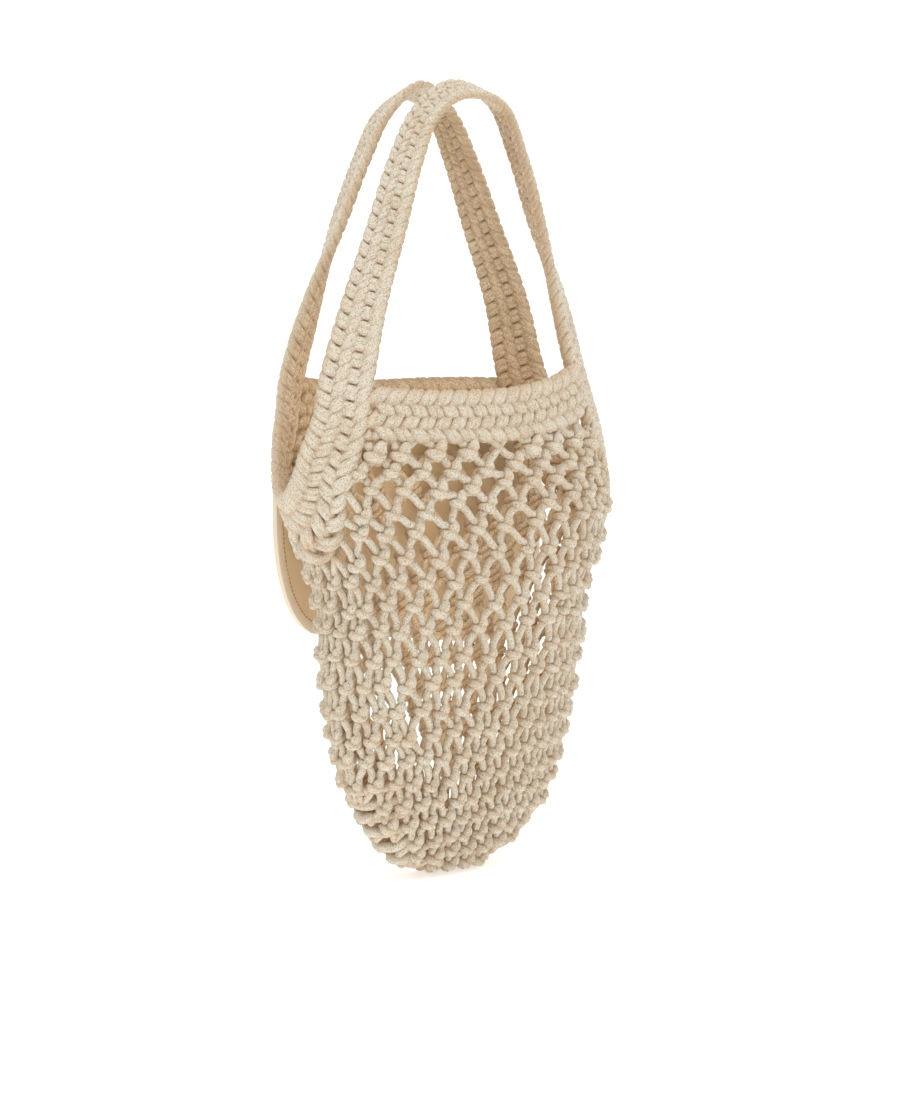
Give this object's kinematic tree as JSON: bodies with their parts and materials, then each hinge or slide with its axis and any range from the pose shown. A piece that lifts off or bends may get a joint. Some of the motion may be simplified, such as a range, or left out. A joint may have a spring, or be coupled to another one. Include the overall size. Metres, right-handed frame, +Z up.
{
  "type": "market tote bag",
  "caption": "Open market tote bag knotted from cream cotton cord net, with flat braided handles and rim bands and a tan leather panel on the back",
  "frame": {"origin": "the hang point, midway between the two strap arches at the height of their undersides", "axes": "+Z up along the hanging bag, +X to the bag's right side as seen from its front, -Y to the front, the leather panel at the back"},
  "size_m": [0.2731, 0.1251, 0.5038],
  "materials": {
    "cotton_cord": "undyed soft cotton cord, matte, finely flecked",
    "tan_leather": "smooth natural tan leather, satin"
  },
  "bodies": {
    "root": {"net_body": "cotton_cord", "front_rim_band": "cotton_cord", "back_rim_band": "cotton_cord", "front_strap": "cotton_cord", "back_strap": "cotton_cord", "leather_panel": "tan_leather"}
  },
  "joints": []
}
